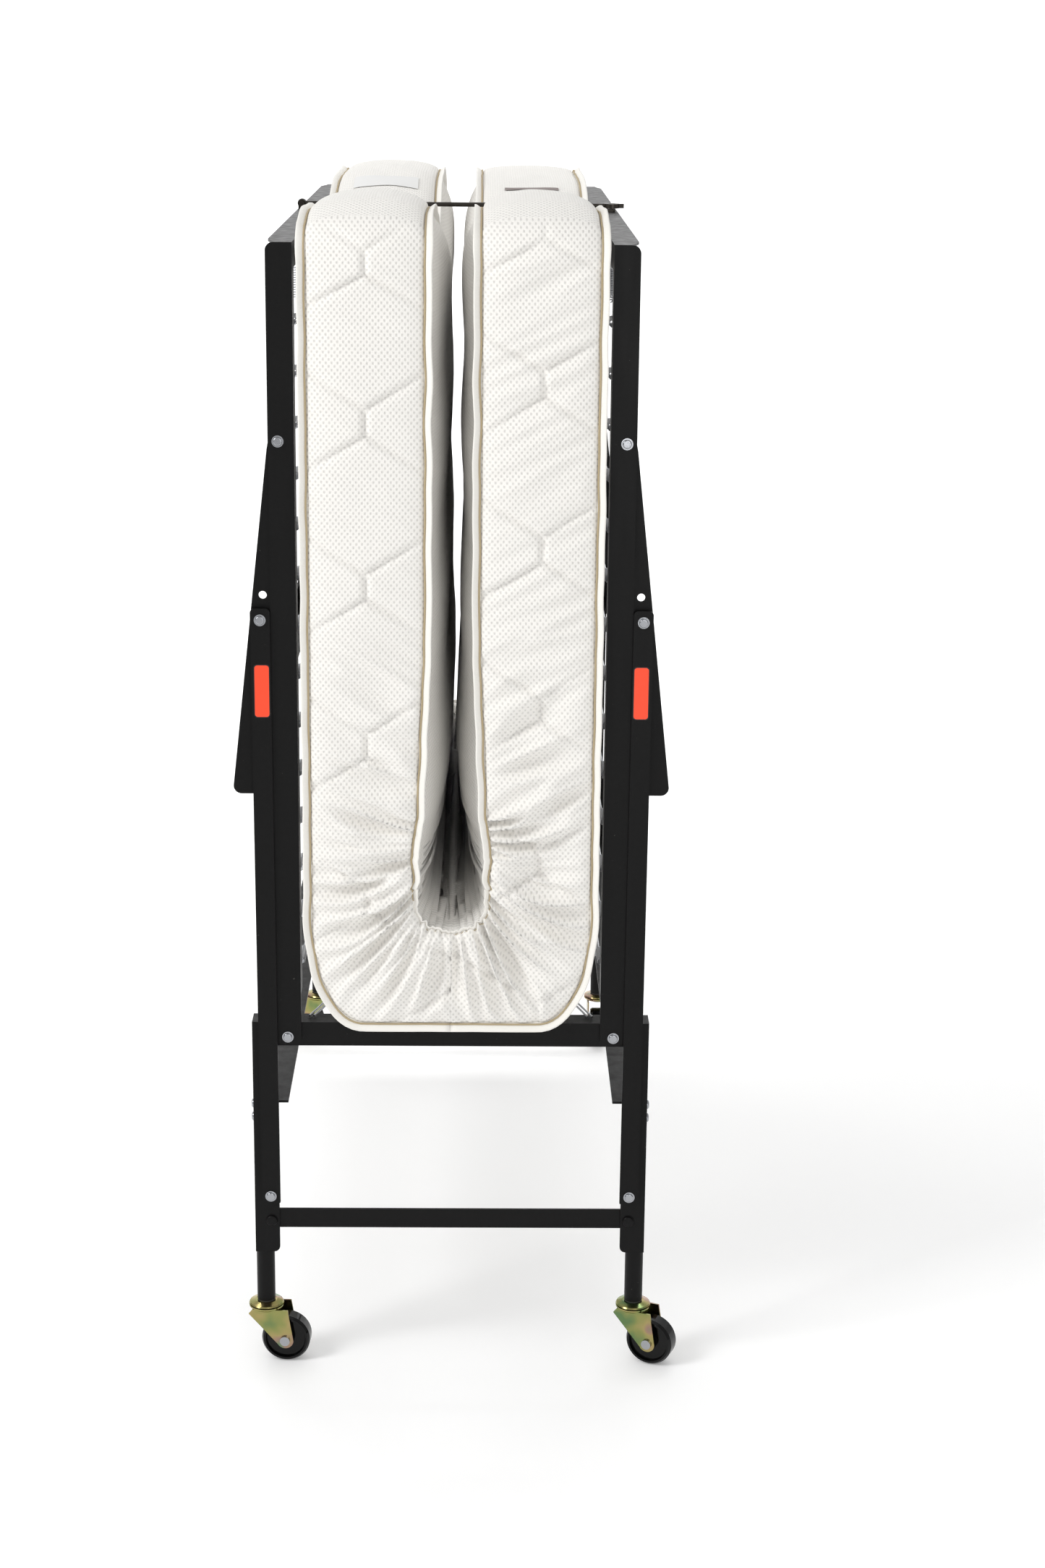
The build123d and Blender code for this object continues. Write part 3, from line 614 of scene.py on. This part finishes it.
def helix(start, end):
    """A coil spring with a straight hook at each end: its points and faces."""
    axis = (end - start).normalized()
    side_way = axis.orthogonal().normalized()
    other = axis.cross(side_way)
    path = [start]
    count = COIL_TURNS * COIL_STEPS
    for i in range(count + 1):
        turn = 2 * math.pi * i / COIL_STEPS
        forward = COIL_HOOK + ((end - start).length - 2 * COIL_HOOK) * i / count
        around = side_way * math.cos(turn) + other * math.sin(turn)
        path.append(start + axis * forward + around * COIL_RADIUS)
    path.append(end)

    def section(i, k):
        ahead = (path[min(i + 1, len(path) - 1)] - path[max(i - 1, 0)]).normalized()
        a = ahead.orthogonal().normalized()
        turn = 2 * math.pi * k / COIL_SIDES
        return (a * math.cos(turn) + ahead.cross(a) * math.sin(turn)) * COIL_WIRE

    return sweep(path, COIL_SIDES, section)


def spring_set(side_name):
    """A coil in place of each plain spring cylinder of the node."""
    node = nodes[f"{side_name}_springs"]
    islands = loose_boxes(node.data)
    points, faces = [], []
    for low, high in islands:
        middle = (low + high) / 2
        axis = 1 if high.y - low.y > high.z - low.z else 2
        start, end = middle.copy(), middle.copy()
        start[axis], end[axis] = low[axis], high[axis]
        coil_points, coil_faces = helix(start, end)
        base = len(points)
        points += coil_points
        faces += [tuple(base + v for v in face) for face in coil_faces]
    piece = mesh_piece(f"coil_springs_{side_name}", points, faces, [wire])
    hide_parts(f"{side_name}_springs")
    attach(piece, f"deck_{side_name}")


def loose_boxes(mesh):
    """Low and high corner of each unconnected shell, joining vertices at the same place."""
    keys = {}
    parent = []

    def find(a):
        while parent[a] != a:
            parent[a] = parent[parent[a]]
            a = parent[a]
        return a

    index = []
    for v in mesh.vertices:
        key = tuple(round(c * 1e5) for c in v.co)
        if key not in keys:
            keys[key] = len(parent)
            parent.append(len(parent))
        index.append(keys[key])
    for edge in mesh.edges:
        a, b = find(index[edge.vertices[0]]), find(index[edge.vertices[1]])
        parent[a] = b
    boxes = {}
    for v in mesh.vertices:
        root = find(index[v.index])
        low, high = boxes.setdefault(root, (v.co.copy(), v.co.copy()))
        for k in range(3):
            low[k], high[k] = min(low[k], v.co[k]), max(high[k], v.co[k])
    return list(boxes.values())


for side_name in ("left", "right"):
    spring_set(side_name)


# ------------------------------------------------------------------ stickers and tags
PLATE_STEPS = 6  # in each round corner


def rounded_plate(name, width, height, radius, thick, material):
    """A flat plate in XZ with round corners, its back at Y 0 and its face at -thick."""
    outline = []
    for cx, cz, first in ((1, 1, 0), (-1, 1, 1), (-1, -1, 2), (1, -1, 3)):
        for i in range(PLATE_STEPS + 1):
            turn = math.pi / 2 * (first + i / PLATE_STEPS)
            outline.append((cx * (width / 2 - radius) + radius * math.cos(turn),
                            cz * (height / 2 - radius) + radius * math.sin(turn)))
    n = len(outline)
    points = [(x, -thick, z) for x, z in outline] + [(x, 0, z) for x, z in outline]
    faces = [tuple(range(n))[::-1], tuple(range(n, 2 * n))]
    faces += [(i, (i + 1) % n, n + (i + 1) % n, n + i) for i in range(n)]
    return mesh_piece(name, points, faces, [material], smooth=False)


STICKER_Z = 729.2 * MM
for side_name in ("left", "right"):
    low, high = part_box(f"{side_name}_link_near")
    x = (low.x + high.x) / 2
    for label, width, height, lift, material in (
            ("border", 15.6 * MM, 53.5 * MM, 0.2 * MM, sticker_border),
            ("face", 14.2 * MM, 52.1 * MM, 0.35 * MM, sticker_orange)):
        plate = rounded_plate(f"sticker_{label}_{side_name}", width, height, 3 * MM, lift, material)
        plate.location = (x, low.y, STICKER_Z)
        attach(plate, f"link_{side_name}_near")


TAG_CELLS_X, TAG_CELLS_Y = 12, 6
TAG_LIFT = 1.0 * MM


def tag(name, side_name, centre_y, width, length, material):
    """A small cloth tag that follows the far lobe of a half's end."""
    side = 1 if side_name == "right" else -1
    share = width / (OUT - INNER_EDGE)
    points, faces = [], []
    for i in range(TAG_CELLS_X + 1):
        for j in range(TAG_CELLS_Y + 1):
            y = centre_y + (j / TAG_CELLS_Y - 0.5) * length
            x, y, z = end_point(0.5 + (i / TAG_CELLS_X - 0.5) * share, y, side)
            points.append(place(x, y, z + TAG_LIFT, side))
    for i in range(TAG_CELLS_X):
        for j in range(TAG_CELLS_Y):
            a = i * (TAG_CELLS_Y + 1) + j
            faces.append((a, a + TAG_CELLS_Y + 1, a + TAG_CELLS_Y + 2, a + 1))
    piece = mesh_piece(name, points, faces, [material])
    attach(piece, f"deck_{side_name}")


TAG_Y = 0.12
tag("blank_tag", "left", TAG_Y, 74 * MM, 46 * MM, tag_white)
tag("blank_label", "right", TAG_Y, 62 * MM, 16 * MM, tag_taupe)

# ------------------------------------------------------------------ floor, light, camera
floor_mat, floor_tree, floor_shader = new_material("floor", (0.93, 0.93, 0.93), 0.6)
bump_of(floor_tree, noise_of(floor_tree, rest_coordinates(floor_tree), 3, 2), floor_shader, 0.02, 0.001)
floor_shader.inputs["Emission Color"].default_value = (1, 1, 1, 1)
floor_shader.inputs["Emission Strength"].default_value = 0.14
COVE_NEAR, COVE_Y, COVE_RADIUS, COVE_HALF, COVE_TOP = -9.0, 4.0, 2.5, 9.0, 7.0
cove = [(COVE_NEAR, 0.0)]
cove += [(COVE_Y + COVE_RADIUS * math.sin(a), COVE_RADIUS * (1 - math.cos(a)))
         for a in [math.pi / 2 * i / 24 for i in range(25)]]
cove.append((COVE_Y + COVE_RADIUS, COVE_TOP))
floor = mesh_piece("floor", [(x, y, z) for y, z in cove for x in (-COVE_HALF, COVE_HALF)],
                   [(2 * i, 2 * i + 1, 2 * i + 3, 2 * i + 2) for i in range(len(cove) - 1)], [floor_mat])
floor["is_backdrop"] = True


def area_light(name, place_at, target, size, power):
    light = bpy.data.lights.new(name, "AREA")
    light.shape = "RECTANGLE"
    light.size, light.size_y = size
    light.energy = power
    lamp = bpy.data.objects.new(name, light)
    lamp.location = place_at
    lamp.rotation_mode = "QUATERNION"
    lamp.rotation_quaternion = (Vector(target) - Vector(place_at)).to_track_quat("-Z", "Y")
    bpy.context.scene.collection.objects.link(lamp)


area_light("key", (-2.6, -1.9, 2.7), (0, 0, 0.7), (1.2, 1.6), 62)
area_light("fill", (0.8, -3.3, 1.2), (0, 0, 0.7), (1.2, 1.6), 15)
area_light("top", (0, -0.4, 3.6), (0, 0, 0.6), (2.5, 2.5), 9)
area_light("wash", (0, 2.2, 4.2), (0, 5.6, 1.0), (4.0, 1.5), 170)
world = bpy.data.worlds.new("studio")
world.use_nodes = True
world.node_tree.nodes["Background"].inputs["Color"].default_value = (1, 1, 1, 1)
world.node_tree.nodes["Background"].inputs["Strength"].default_value = 0.55
bpy.context.scene.world = world
bpy.context.scene.view_settings.view_transform = "Standard"

camera_data = bpy.data.cameras.new("camera")
camera_data.lens, camera_data.sensor_width = 62.3, 36
camera = bpy.data.objects.new("camera", camera_data)
bpy.context.scene.collection.objects.link(camera)
CAMERA_AT = (0.028, -3.0885, 1.362)
PITCH, YAW, ROLL = 15.6, -0.94, 0.6  # degrees
turn = (Matrix.Rotation(math.radians(YAW), 4, "Z") @ Matrix.Rotation(math.radians(90 - PITCH), 4, "X")
        @ Matrix.Rotation(math.radians(ROLL), 4, "Z"))
camera.matrix_world = Matrix.Translation(CAMERA_AT) @ turn
bpy.context.scene.camera = camera

low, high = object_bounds()
